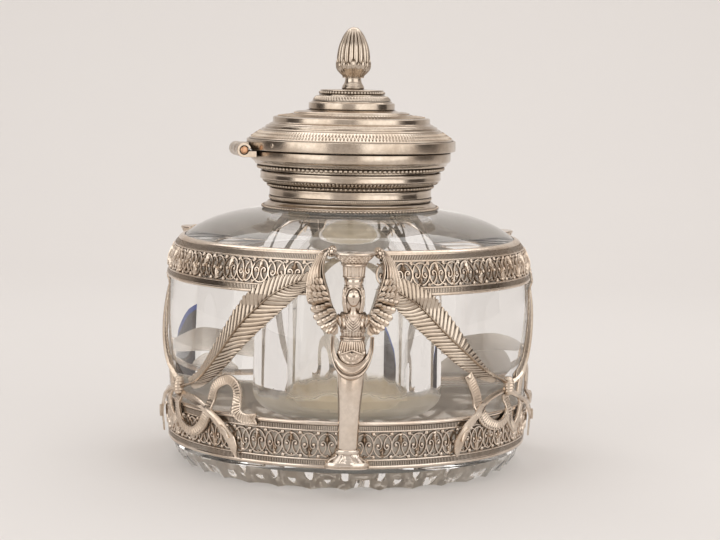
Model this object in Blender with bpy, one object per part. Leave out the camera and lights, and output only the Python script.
"""Silver-mounted crystal inkwell.

A thick crystal barrel with a central ink well stands on its flat base. A silver gallery band
goes round its foot, and three arcs of another go round its shoulder. Three winged herm figures
on pilasters tie them together, with feather quills that meet in ribbon bows between them. A
turned silver collar covers the neck and carries the hinge of a stepped lid with a bud finial.

Frame: metres, +Z up, origin at the centre of the flat base, and -Y is the front, where the
first figure stands. Azimuths are turned from the front, positive towards +X.
"""

import math

import bmesh
import bpy
from mathutils import Vector

MM = 0.001

# Crystal body.
BARREL_R = 51.5 * MM
BELLY_Z = 34.0 * MM
BARREL_BEND = 1.87  # radius lost per metre squared away from the belly
SHOULDER_Z = 56.0 * MM
SHOULDER_RISE = 17.0 * MM
BASE_R = 44.5 * MM
NECK_R = 20.5 * MM
NECK_TOP_Z = 86.0 * MM
WELL_R = 17.5 * MM
WELL_FLOOR_Z = 15.8 * MM

# Clearances and layers of the silver frame, measured outwards from the crystal.
GAP = 0.3 * MM
BAND_THICK = 1.0 * MM
LOWER_BAND = (6.6 * MM, 19.5 * MM)
UPPER_BAND = (52.7 * MM, 64.4 * MM)
RAIL_HEIGHT = 2.9 * MM
RAIL_PROUD = 0.3 * MM
SEAT_OFF_BANDS = 0.4 * MM
SEAT_ON_BANDS = GAP + BAND_THICK + GAP
SEAT_RAMP = 3.0 * MM
GIRTH_R = 53.0 * MM  # radius at which distances along the girth are measured
ARC_START = 8.6 * MM  # along the girth, from a figure's middle to the upper gallery

# Figures and bows round the body, in degrees from the front.
FIGURE_AZIMUTHS = (0.0, 120.0, 240.0)
BOW_AZIMUTHS = (55.0, 180.0, 301.0)

# Hinge of the lid.
HINGE_AZIMUTH = math.radians(-77.0)
PIN_CENTRE_R = 32.15 * MM
PIN_Z = 88.9 * MM
PIN_R = 1.05 * MM
PIN_LENGTH = 14.0 * MM
KNUCKLE_OUTER_R = 2.0 * MM
KNUCKLE_INNER_R = 1.35 * MM
LEAF_SPLIT = 0.35 * MM  # half the slot between the two leaves
SIDE_KNUCKLE = 4.3 * MM
COLLAR_LEAF_END_R = 28.9 * MM
LID_LEAF_END_R = 30.15 * MM

# Collar and lid.
COLLAR_BORE_R = NECK_R + GAP
COLLAR_R = 28.5 * MM
COLLAR_TOP_Z = 88.6 * MM
MOUTH_R = 18.0 * MM
LID_RIM_R = 29.8 * MM
LID_RIM_Z = (88.95 * MM, 91.7 * MM)
FINIAL_TOP_Z = 123.85 * MM
FINIAL_BUD_R = 4.85 * MM
STEM_R = 1.2 * MM
STEM_END_Z = 99.6 * MM

BODY_SEGMENTS = 48
COLLAR_SEGMENTS = 36
WIRE_SEGMENTS = 28
CAP_SEGMENTS = 24
FINIAL_SEGMENTS = 16


def clear_scene():
    for item in list(bpy.data.objects):
        bpy.data.objects.remove(item, do_unlink=True)


def principled(name, colour, metallic, roughness, transmission=0.0):
    material = bpy.data.materials.new(name)
    material.use_nodes = True
    shader = material.node_tree.nodes["Principled BSDF"]
    shader.inputs["Base Color"].default_value = (*colour, 1.0)
    shader.inputs["Metallic"].default_value = metallic
    shader.inputs["Roughness"].default_value = roughness
    shader.inputs["Transmission Weight"].default_value = transmission
    return material


def add_object(name, bm, material, sharp_angle=35.0):
    """Close the mesh, point its faces outwards and link it as a named object."""
    bmesh.ops.remove_doubles(bm, verts=bm.verts, dist=0.001 * MM)
    bmesh.ops.recalc_face_normals(bm, faces=bm.faces)
    mesh = bpy.data.meshes.new(name)
    bm.to_mesh(mesh)
    bm.free()
    mesh.shade_smooth()
    mesh.set_sharp_from_angle(angle=math.radians(sharp_angle))
    mesh.materials.append(material)
    item = bpy.data.objects.new(name, mesh)
    bpy.context.collection.objects.link(item)
    return item


def in_metres(points):
    """Turn millimetre pairs or triples into metres."""
    return [tuple(value * MM for value in point) for point in points]


def turned(name, profile, segments, material, ring=False):
    """Turn (radius, height) points about the vertical axis; a ring's profile is a loop."""
    bm = bmesh.new()
    verts = [bm.verts.new((radius, 0.0, height)) for radius, height in profile]
    edges = [bm.edges.new(pair) for pair in zip(verts, verts[1:])]
    if ring:
        edges.append(bm.edges.new((verts[-1], verts[0])))
    bmesh.ops.spin(
        bm, geom=verts + edges, cent=(0, 0, 0), axis=(0, 0, 1),
        angle=2 * math.pi, steps=segments, use_merge=True,
    )
    return add_object(name, bm, material)


def skinned(name, sections, material, sharp_angle=35.0):
    """Skin closed loops of points, one after another, and cap both ends."""
    bm = bmesh.new()
    loops = [[bm.verts.new(point) for point in section] for section in sections]
    count = len(loops[0])
    for near, far in zip(loops, loops[1:]):
        for i in range(count):
            j = (i + 1) % count
            bm.faces.new((near[i], near[j], far[j], far[i]))
    bm.faces.new(loops[0])
    bm.faces.new(list(reversed(loops[-1])))
    return add_object(name, bm, material, sharp_angle)


def smooth_curve(points, samples):
    """Evenly spaced samples, by parameter, of the Catmull-Rom curve through the points."""
    knots = [2 * Vector(points[0]) - Vector(points[1])]
    knots += [Vector(point) for point in points]
    knots.append(2 * Vector(points[-1]) - Vector(points[-2]))
    spans = len(points) - 1
    curve = []
    for k in range(samples):
        place = spans * k / (samples - 1)
        span = min(int(place), spans - 1)
        t = place - span
        a, b, c, d = knots[span:span + 4]
        curve.append(0.5 * (
            2 * b + (c - a) * t + (2 * a - 5 * b + 4 * c - d) * t ** 2
            + (3 * b - a - 3 * c + d) * t ** 3
        ))
    return curve


# ---------------------------------------------------------------- the body's own surface

def glass_radius(z):
    """Outer radius of the crystal between its foot and its neck."""
    if z <= SHOULDER_Z:
        return BARREL_R - BARREL_BEND * (z - BELLY_Z) ** 2
    shoulder_r = BARREL_R - BARREL_BEND * (SHOULDER_Z - BELLY_Z) ** 2
    rise = (z - SHOULDER_Z) / SHOULDER_RISE
    return shoulder_r * (1 - rise ** 2.25) ** (1 / 3)


def ease(value):
    value = min(max(value, 0.0), 1.0)
    return value * value * (3 - 2 * value)


def seat(z):
    """Clearance under the ornaments: close to the crystal, and proud over the two bands."""
    above_lower = (z - LOWER_BAND[1] - GAP) / SEAT_RAMP
    below_upper = (UPPER_BAND[0] - GAP - z) / SEAT_RAMP
    off_bands = ease(above_lower) * ease(below_upper)
    return SEAT_ON_BANDS + (SEAT_OFF_BANDS - SEAT_ON_BANDS) * off_bands


def around(radius, azimuth, z):
    return Vector((radius * math.sin(azimuth), -radius * math.cos(azimuth), z))


def on_body(u, z, layer, azimuth):
    """A point u along the girth from azimuth, at height z, layer outwards of the seat."""
    return around(glass_radius(z) + seat(z) + layer, azimuth + u / GIRTH_R, z)


# ---------------------------------------------------------------- crystal

def make_glass(crystal):
    barrel = [4.6, 12.0, 20.0, 28.0, 36.0, 44.0, 52.0]
    shoulder = [56.0, 58.5, 60.6, 62.6, 64.4, 66.6, 68.6, 70.2, 71.4]
    outer = [(0.0, 0.0), (BASE_R, 0.0)] + in_metres([(46.4, 0.8), (48.3, 2.6)])
    outer += [(glass_radius(z * MM), z * MM) for z in barrel + shoulder]
    neck = in_metres([(25.6, 71.95), (22.9, 72.35), (21.2, 73.2)])
    neck += [(NECK_R, 74.6 * MM), (NECK_R, NECK_TOP_Z)]
    well = [(WELL_R, NECK_TOP_Z), (WELL_R, WELL_FLOOR_Z + 5.5 * MM)]
    well += [(WELL_R - 1.4 * MM, WELL_FLOOR_Z + 2.0 * MM)]
    well += [(WELL_R - 5.0 * MM, WELL_FLOOR_Z + 0.3 * MM), (0.0, WELL_FLOOR_Z)]
    return turned("glass_body", outer + neck + well, BODY_SEGMENTS, crystal)


# ---------------------------------------------------------------- galleries

def gallery_profile(band):
    """Radius and height of a sheet that follows the crystal, with a proud rail at each edge."""
    low, high = band
    rail_low, rail_high = low + RAIL_HEIGHT, high - RAIL_HEIGHT
    middle = (low + high) / 2
    proud = GAP + BAND_THICK
    web = proud - RAIL_PROUD
    outer = [(low, proud), (rail_low, proud), (rail_low, web), (middle, web)]
    outer += [(rail_high, web), (rail_high, proud), (high, proud)]
    profile = [(glass_radius(z) + offset, z) for z, offset in outer]
    return profile + [(glass_radius(z) + GAP, z) for z in (high, rail_high, middle, rail_low, low)]


def make_lower_gallery(silver):
    turned("lower_gallery", gallery_profile(LOWER_BAND), BODY_SEGMENTS, silver, ring=True)


def make_upper_gallery(silver):
    """Three arcs that run from the wings of one figure to the wings of the next."""
    profile = gallery_profile(UPPER_BAND)
    for i, degrees in enumerate(FIGURE_AZIMUTHS):
        start = math.radians(degrees) + ARC_START / GIRTH_R
        sweep = math.radians(120.0) - 2 * ARC_START / GIRTH_R
        steps = BODY_SEGMENTS // 3
        sections = []
        for k in range(steps + 1):
            azimuth = start + sweep * k / steps
            sections.append([around(radius, azimuth, z) for radius, z in profile])
        skinned(f"upper_gallery_{i + 1}", sections, silver)


# ---------------------------------------------------------------- collar

def make_collar(silver):
    """The turned sleeve on the neck, with grooves for its five ornamental wires."""
    lip = [(MOUTH_R, COLLAR_TOP_Z), (MOUTH_R, NECK_TOP_Z + 0.4 * MM)]
    lip += [(COLLAR_BORE_R, NECK_TOP_Z + 0.4 * MM)]
    under = in_metres([(20.8, 75.0), (21.9, 73.3), (23.6, 72.6)])
    outer = in_metres([
        (24.3, 72.6), (24.3, 73.45), (23.3, 74.3), (22.4, 74.6), (22.4, 76.0),
        (23.15, 76.0), (23.15, 78.15), (22.4, 78.2), (22.4, 80.65),
        (25.7, 80.7), (25.7, 82.75), (24.5, 83.1), (24.5, 84.9), (27.4, 85.0), (28.1, 85.9),
    ])
    top = [(COLLAR_R, 86.5 * MM), (COLLAR_R, COLLAR_TOP_Z)]
    return turned("collar", under + outer + top + lip, COLLAR_SEGMENTS, silver, ring=True)


WIRES = {
    # name: inner radius, outer radius at the foot, outer radius at the head, foot, head
    "flange_bead_wire": (24.6, 25.4, 25.4, 72.35, 73.15),
    "collar_reed_wire_low": (22.7, 23.4, 23.4, 74.9, 75.7),
    "collar_bead_wire_low": (22.7, 23.9, 24.1, 78.5, 79.35),
    "collar_reed_wire_high": (22.7, 24.8, 25.3, 79.65, 80.35),
    "collar_bead_wire_high": (24.8, 26.8, 27.0, 83.4, 84.6),
    "lid_rope_wire": (9.3, 11.1, 9.9, 102.85, 104.3),
    "lid_bead_wire": (8.4, 9.4, 9.3, 104.65, 105.7),
}


def make_wires(silver):
    wires = []
    for name, (inner, foot_r, head_r, foot, head) in WIRES.items():
        profile = in_metres([(inner, foot), (foot_r, foot), (head_r, head), (inner, head)])
        wires.append(turned(name, profile, WIRE_SEGMENTS, silver, ring=True))
    return wires


# ---------------------------------------------------------------- lid

def make_lid_rim(silver):
    low, high = LID_RIM_Z
    wall = 1.1 * MM
    seat_r = 24.5 * MM
    flange = 0.85 * MM
    profile = [
        (LID_RIM_R, low), (LID_RIM_R, high), (LID_RIM_R - wall, high),
        (LID_RIM_R - wall, low + flange), (seat_r, low + flange), (seat_r, low),
    ]
    return turned("lid_rim", profile, COLLAR_SEGMENTS, silver, ring=True)


def make_lid_dome(silver):
    """Spun shell: patterned cone, small torus, polished step and shallow patterned slope."""
    outer = [
        (29.3, 92.0), (28.6, 92.5), (26.7, 93.75), (24.9, 94.95), (23.8, 95.7), (23.2, 96.5),
        (22.5, 96.8), (22.5, 97.8), (22.1, 98.3), (14.75, 99.45), (12.6, 100.3),
    ]
    inner = [(12.6, 99.3), (14.6, 98.5), (21.3, 97.2), (21.3, 96.1), (22.7, 95.1), (27.8, 92.0)]
    return turned("lid_dome", in_metres(outer + inner), COLLAR_SEGMENTS, silver, ring=True)


def make_lid_cap(silver):
    outer = [
        (12.2, 100.65), (12.2, 102.1), (11.4, 102.5), (9.0, 102.55), (9.0, 104.35),
        (8.1, 104.35), (8.1, 105.9), (7.9, 106.0), (1.5, 106.0),
    ]
    inner = [(1.5, 105.0), (7.1, 105.0), (7.1, 103.4), (8.0, 101.5), (11.2, 101.4), (11.2, 100.65)]
    return turned("lid_cap", in_metres(outer + inner), CAP_SEGMENTS, silver, ring=True)


def make_finial(silver):
    """A bud on a waisted foot, with a stem that goes down through the cap."""
    stem = [(0.0, STEM_END_Z), (STEM_R, STEM_END_Z), (STEM_R, 106.3 * MM)]
    foot = in_metres([(2.85, 106.3), (2.85, 106.85), (2.6, 107.7), (1.97, 109.1)])
    cup = in_metres([(3.0, 110.9), (4.4, 112.6)])
    bud = [(FINIAL_BUD_R, 114.4 * MM)]
    bud += in_metres([(4.6, 116.6), (3.9, 119.2), (2.6, 121.9), (1.1, 123.5)])
    bud.append((0.0, FINIAL_TOP_Z))
    return turned("finial", stem + foot + cup + bud, FINIAL_SEGMENTS, silver)


def make_finial_nut(brass):
    profile = in_metres([(1.8, 102.9), (3.3, 102.9), (3.3, 104.7), (1.8, 104.7)])
    return turned("finial_nut", profile, 6, brass, ring=True)


# ---------------------------------------------------------------- hinge

def hinge_point(radial, along, z):
    """A point radial from the vertical axis and along the pin, towards the front."""
    outward = Vector((math.sin(HINGE_AZIMUTH), -math.cos(HINGE_AZIMUTH), 0.0))
    forward = Vector((math.cos(HINGE_AZIMUTH), math.sin(HINGE_AZIMUTH), 0.0))
    return outward * radial + forward * along + Vector((0.0, 0.0, z))


def knuckle_outline(leaf_end_r, side):
    """Side view of a leaf rolled round the pin; side is -1 for the lower leaf, 1 above."""
    opening = math.asin(LEAF_SPLIT / KNUCKLE_INNER_R)
    steps = 14
    inner_start, inner_end = math.pi + opening, 3 * math.pi - opening
    outline = [(leaf_end_r - PIN_CENTRE_R, -LEAF_SPLIT)]
    for k in range(steps + 1):
        angle = inner_start + (inner_end - inner_start) * k / steps
        outline.append((KNUCKLE_INNER_R * math.cos(angle), KNUCKLE_INNER_R * math.sin(angle)))
    for k in range(steps + 1):
        angle = inner_end + (1.5 * math.pi - inner_end) * k / steps
        outline.append((KNUCKLE_OUTER_R * math.cos(angle), KNUCKLE_OUTER_R * math.sin(angle)))
    outline.append((leaf_end_r - PIN_CENTRE_R, -KNUCKLE_OUTER_R))
    return [(PIN_CENTRE_R + x, PIN_Z - side * z) for x, z in outline]


def make_knuckle(name, leaf_end_r, side, start, end, silver):
    outline = knuckle_outline(leaf_end_r, side)
    sections = [[hinge_point(r, along, z) for r, z in outline] for along in (start, end)]
    return skinned(name, sections, silver)


def make_hinge(silver, brass):
    half = PIN_LENGTH / 2
    middle = half - SIDE_KNUCKLE - GAP
    front = make_knuckle("hinge_knuckle_front", COLLAR_LEAF_END_R, -1,
                         half - SIDE_KNUCKLE, half, silver)
    back = make_knuckle("hinge_knuckle_back", COLLAR_LEAF_END_R, -1,
                        -half, SIDE_KNUCKLE - half, silver)
    lid = make_knuckle("hinge_knuckle_lid", LID_LEAF_END_R, 1, -middle, middle, silver)
    steps = 16
    sections = []
    for along in (-half - 0.15 * MM, half + 0.15 * MM):
        turns = [2 * math.pi * k / steps for k in range(steps)]
        sections.append([
            hinge_point(PIN_CENTRE_R + PIN_R * math.cos(t), along, PIN_Z + PIN_R * math.sin(t))
            for t in turns
        ])
    pin = skinned("hinge_pin", sections, brass)
    return front, back, lid, pin


# ---------------------------------------------------------------- figures

def rounded_stack(name, stations, azimuth, material):
    """Skin flat-backed round-fronted sections: height, half width, back and front radius."""
    arc_steps = 8
    sections = []
    for z, half, back, front in stations:
        section = []
        for k in range(arc_steps + 1):
            turn = math.pi * k / arc_steps
            side = -half * math.cos(turn)
            radius = back + (front - back) * math.sin(turn) ** 0.8
            point = Vector((side, -radius, z))
            section.append(point)
        sections.append(section)
    turn_to = math.radians(azimuth)
    cos_a, sin_a = math.cos(turn_to), math.sin(turn_to)
    placed = [
        [Vector((p.x * cos_a - p.y * sin_a, p.x * sin_a + p.y * cos_a, p.z)) for p in section]
        for section in sections
    ]
    return skinned(name, placed, material, sharp_angle=50.0)


HERM_STATIONS = in_metres([
    # height, half width, back radius, front radius
    (35.0, 2.2, 54.3, 55.6), (36.6, 4.2, 54.3, 56.0), (39.2, 4.9, 54.3, 56.4),
    (40.3, 3.5, 54.3, 56.5), (41.8, 3.2, 54.3, 56.7), (43.4, 3.2, 53.5, 56.8),
    (46.4, 4.2, 53.2, 57.0), (47.9, 4.3, 53.1, 56.6), (48.8, 2.6, 53.1, 55.8),
    (49.5, 1.2, 53.1, 55.3), (50.6, 1.6, 53.1, 56.0), (53.4, 1.9, 53.0, 56.2),
    (56.6, 2.0, 52.6, 55.9), (57.9, 1.8, 52.3, 55.4), (60.3, 1.95, 51.6, 54.8),
    (60.5, 2.9, 51.5, 55.2), (61.4, 2.9, 51.1, 55.2), (62.2, 3.7, 50.7, 55.4),
    (63.6, 5.4, 49.6, 55.6),
])

PILASTER_STATIONS = in_metres([
    (7.6, 5.9, 53.0, 57.2), (9.4, 5.9, 53.0, 57.2), (9.9, 4.6, 53.0, 56.6),
    (11.6, 3.4, 53.0, 56.0), (12.6, 3.4, 53.0, 56.0), (13.0, 2.6, 53.0, 55.4),
    (19.9, 2.85, 53.0, 55.4), (28.0, 3.2, 52.4, 55.4), (31.2, 3.5, 52.3, 55.4),
    (31.8, 4.3, 52.3, 54.0), (34.0, 5.3, 52.3, 54.0), (41.4, 5.4, 52.3, 54.0),
])

# Wing outline on the right of a figure: distance along the girth and height.
WING_OUTER = in_metres([
    (8.9, 64.3), (11.3, 63.0), (12.4, 59.4), (12.2, 55.1), (11.4, 50.5), (9.6, 46.2), (4.8, 42.4),
])
WING_INNER = in_metres([
    (8.3, 63.2), (8.6, 60.6), (8.2, 57.6), (6.6, 53.5), (5.7, 50.6), (4.2, 47.6), (4.0, 42.9),
])
WING_THICK = 0.9 * MM

# A quill runs from a wing to a bow: fraction of the way along the girth, and height.
QUILL_ROOT = 13.2 * MM
QUILL_TIP = 2.3 * MM
QUILL_THICK = 0.7 * MM
QUILL_SPINE = 1.1 * MM
QUILL_LEFT = {
    "upper": [(0.0, 58.3), (0.18, 57.3), (0.42, 50.8), (0.60, 41.0), (0.80, 30.8), (1.0, 26.6)],
    "spine": [(0.0, 56.5), (0.18, 52.6), (0.40, 45.0), (0.60, 35.6), (0.80, 28.0), (1.0, 25.0)],
    "lower": [(0.0, 52.7), (0.18, 46.3), (0.40, 38.0), (0.58, 31.0), (0.78, 25.8), (1.0, 23.7)],
}
QUILL_RIGHT = {
    "upper": [(0.0, 58.2), (0.22, 54.2), (0.42, 46.9), (0.64, 36.6), (0.82, 30.4), (1.0, 27.2)],
    "spine": [(0.0, 54.0), (0.18, 49.6), (0.36, 42.9), (0.55, 36.6), (0.75, 30.8), (1.0, 26.4)],
    "lower": [(0.0, 49.2), (0.18, 43.0), (0.36, 37.2), (0.55, 31.6), (0.78, 27.3), (1.0, 25.6)],
}
VANE_STATIONS = 9


def make_vane(name, upper, spine, lower, thick, spine_thick, azimuth, material):
    """A feather plate on the body's surface, thickest along its spine."""
    curves = [smooth_curve(edge, VANE_STATIONS) for edge in (upper, spine, lower)]
    sections = []
    for top, middle, bottom in zip(*curves):
        half_thick = (thick + spine_thick) / 2
        outside = [
            (top, thick), (top.lerp(middle, 0.5), half_thick), (middle, spine_thick),
            (middle.lerp(bottom, 0.5), half_thick), (bottom, thick),
        ]
        inside = [(point, 0.0) for point, layer in reversed(outside)]
        sections.append([on_body(p.x, p.y, layer, azimuth) for p, layer in outside + inside])
    return skinned(name, sections, material)


def make_wings(number, azimuth, silver):
    for side, hand in ((-1, "left"), (1, "right")):
        outer = [(side * u, z) for u, z in WING_OUTER]
        inner = [(side * u, z) for u, z in WING_INNER]
        middle = [((a[0] + b[0]) / 2, (a[1] + b[1]) / 2) for a, b in zip(outer, inner)]
        make_vane(f"wing_{hand}_{number}", outer, middle, inner, WING_THICK, WING_THICK,
                  azimuth, silver)


def make_quill(name, shape, figure_azimuth, bow_azimuth, silver):
    """A quill from the wing of one figure to the bow on one side of it."""
    span = (bow_azimuth - figure_azimuth) * GIRTH_R
    side = math.copysign(1.0, span)
    reach = abs(span) - QUILL_ROOT - QUILL_TIP
    edges = []
    for part in ("upper", "spine", "lower"):
        edges.append([(side * (QUILL_ROOT + s * reach), z * MM) for s, z in shape[part]])
    return make_vane(name, *edges, QUILL_THICK, QUILL_SPINE, figure_azimuth, silver)


# ---------------------------------------------------------------- bows

RIBBON_THICK = 0.6 * MM
TAIL_LAYER = RIBBON_THICK + GAP
RIBBONS = {
    # path along the girth from the knot and up, then half widths at its start and end
    "ribbon_right": ([(1.3, 22.0), (1.2, 17.4), (5.2, 13.4), (10.2, 16.9), (12.0, 22.0),
                      (14.6, 24.9), (18.4, 26.9), (21.0, 25.0), (21.4, 21.6), (24.0, 19.3),
                      (28.4, 19.1)], 0.9, 1.3, 0.0),
    "ribbon_left": ([(-1.3, 22.0), (-1.2, 17.4), (-4.6, 14.7), (-8.8, 17.4), (-10.2, 21.4),
                     (-10.9, 25.0)], 0.9, 1.1, 0.0),
    "tail_right": ([(1.9, 22.9), (7.2, 21.9), (12.9, 19.9), (18.8, 16.5), (21.8, 13.8),
                    (24.0, 8.2)], 0.7, 1.1, 1.0),
    "tail_left": ([(-1.9, 23.7), (-7.4, 22.8), (-11.5, 20.8), (-15.6, 17.7), (-18.9, 13.7),
                   (-19.7, 9.2)], 0.7, 1.1, 1.0),
}
KNOT_STATIONS = in_metres([
    (22.5, 0.9, 51.9, 53.4), (23.2, 1.35, 51.9, 54.0), (24.8, 1.45, 51.9, 54.3),
    (26.4, 1.35, 51.9, 54.1), (27.4, 0.9, 51.9, 53.5),
])


def make_ribbon(name, path, half_start, half_end, layer, azimuth, silver):
    """A flat ribbon of varying width that follows a path on the body's surface."""
    samples = 2 * len(path) - 1
    points = smooth_curve(in_metres(path), samples)
    sections = []
    for k, point in enumerate(points):
        before = points[max(k - 1, 0)]
        after = points[min(k + 1, samples - 1)]
        across = (after - before).normalized().orthogonal()
        share = k / (samples - 1)
        half = (half_start + (half_end - half_start) * share) * MM
        left, right = point + across * half, point - across * half
        outer_layer = layer + RIBBON_THICK
        section = [(left, outer_layer), (right, outer_layer), (right, layer), (left, layer)]
        sections.append([on_body(p.x, p.y, depth, azimuth) for p, depth in section])
    return skinned(name, sections, silver)


def make_bow(number, azimuth, silver):
    for part, (path, half_start, half_end, over) in RIBBONS.items():
        make_ribbon(f"{part}_{number}", path, half_start, half_end, over * TAIL_LAYER,
                    azimuth, silver)
    rounded_stack(f"bow_knot_{number}", KNOT_STATIONS, math.degrees(azimuth), silver)


def make_frame(silver):
    """Figures, wings, quills and bows, three of each round the body."""
    make_lower_gallery(silver)
    make_upper_gallery(silver)
    bows = [math.radians(angle) for angle in BOW_AZIMUTHS]
    for i, degrees in enumerate(FIGURE_AZIMUTHS):
        number = i + 1
        azimuth = math.radians(degrees)
        rounded_stack(f"herm_figure_{number}", HERM_STATIONS, degrees, silver)
        rounded_stack(f"pilaster_{number}", PILASTER_STATIONS, degrees, silver)
        make_wings(number, azimuth, silver)
        bow_before = bows[i - 1] if i else bows[-1] - 2 * math.pi
        make_quill(f"quill_right_{number}", QUILL_RIGHT, azimuth, bows[i], silver)
        make_quill(f"quill_left_{number}", QUILL_LEFT, azimuth, bow_before, silver)
        make_bow(number, bows[i], silver)


def hang_on_hinge(pieces):
    """Parent the lid's pieces to an empty on the pin, so they turn about its axis."""
    axis = bpy.data.objects.new("lid_hinge_axis", None)
    axis.location = hinge_point(PIN_CENTRE_R, 0.0, PIN_Z)
    bpy.context.collection.objects.link(axis)
    bpy.context.view_layer.update()
    for piece in pieces:
        piece.parent = axis
        piece.matrix_parent_inverse = axis.matrix_world.inverted()


def main():
    clear_scene()
    silver = principled("old_silver", (0.70, 0.66, 0.61), 1.0, 0.28)
    crystal = principled("clear_crystal", (0.93, 0.94, 0.94), 0.0, 0.02, 1.0)
    brass = principled("pin_brass", (0.62, 0.40, 0.22), 1.0, 0.35)

    make_glass(crystal)
    make_collar(silver)
    wires = make_wires(silver)
    make_frame(silver)
    lid_knuckle = make_hinge(silver, brass)[2]
    lid = [make_lid_rim(silver), make_lid_dome(silver), make_lid_cap(silver)]
    lid += [make_finial(silver), make_finial_nut(brass), lid_knuckle]
    lid += [wire for wire in wires if wire.name.startswith("lid_")]
    hang_on_hinge(lid)


main()
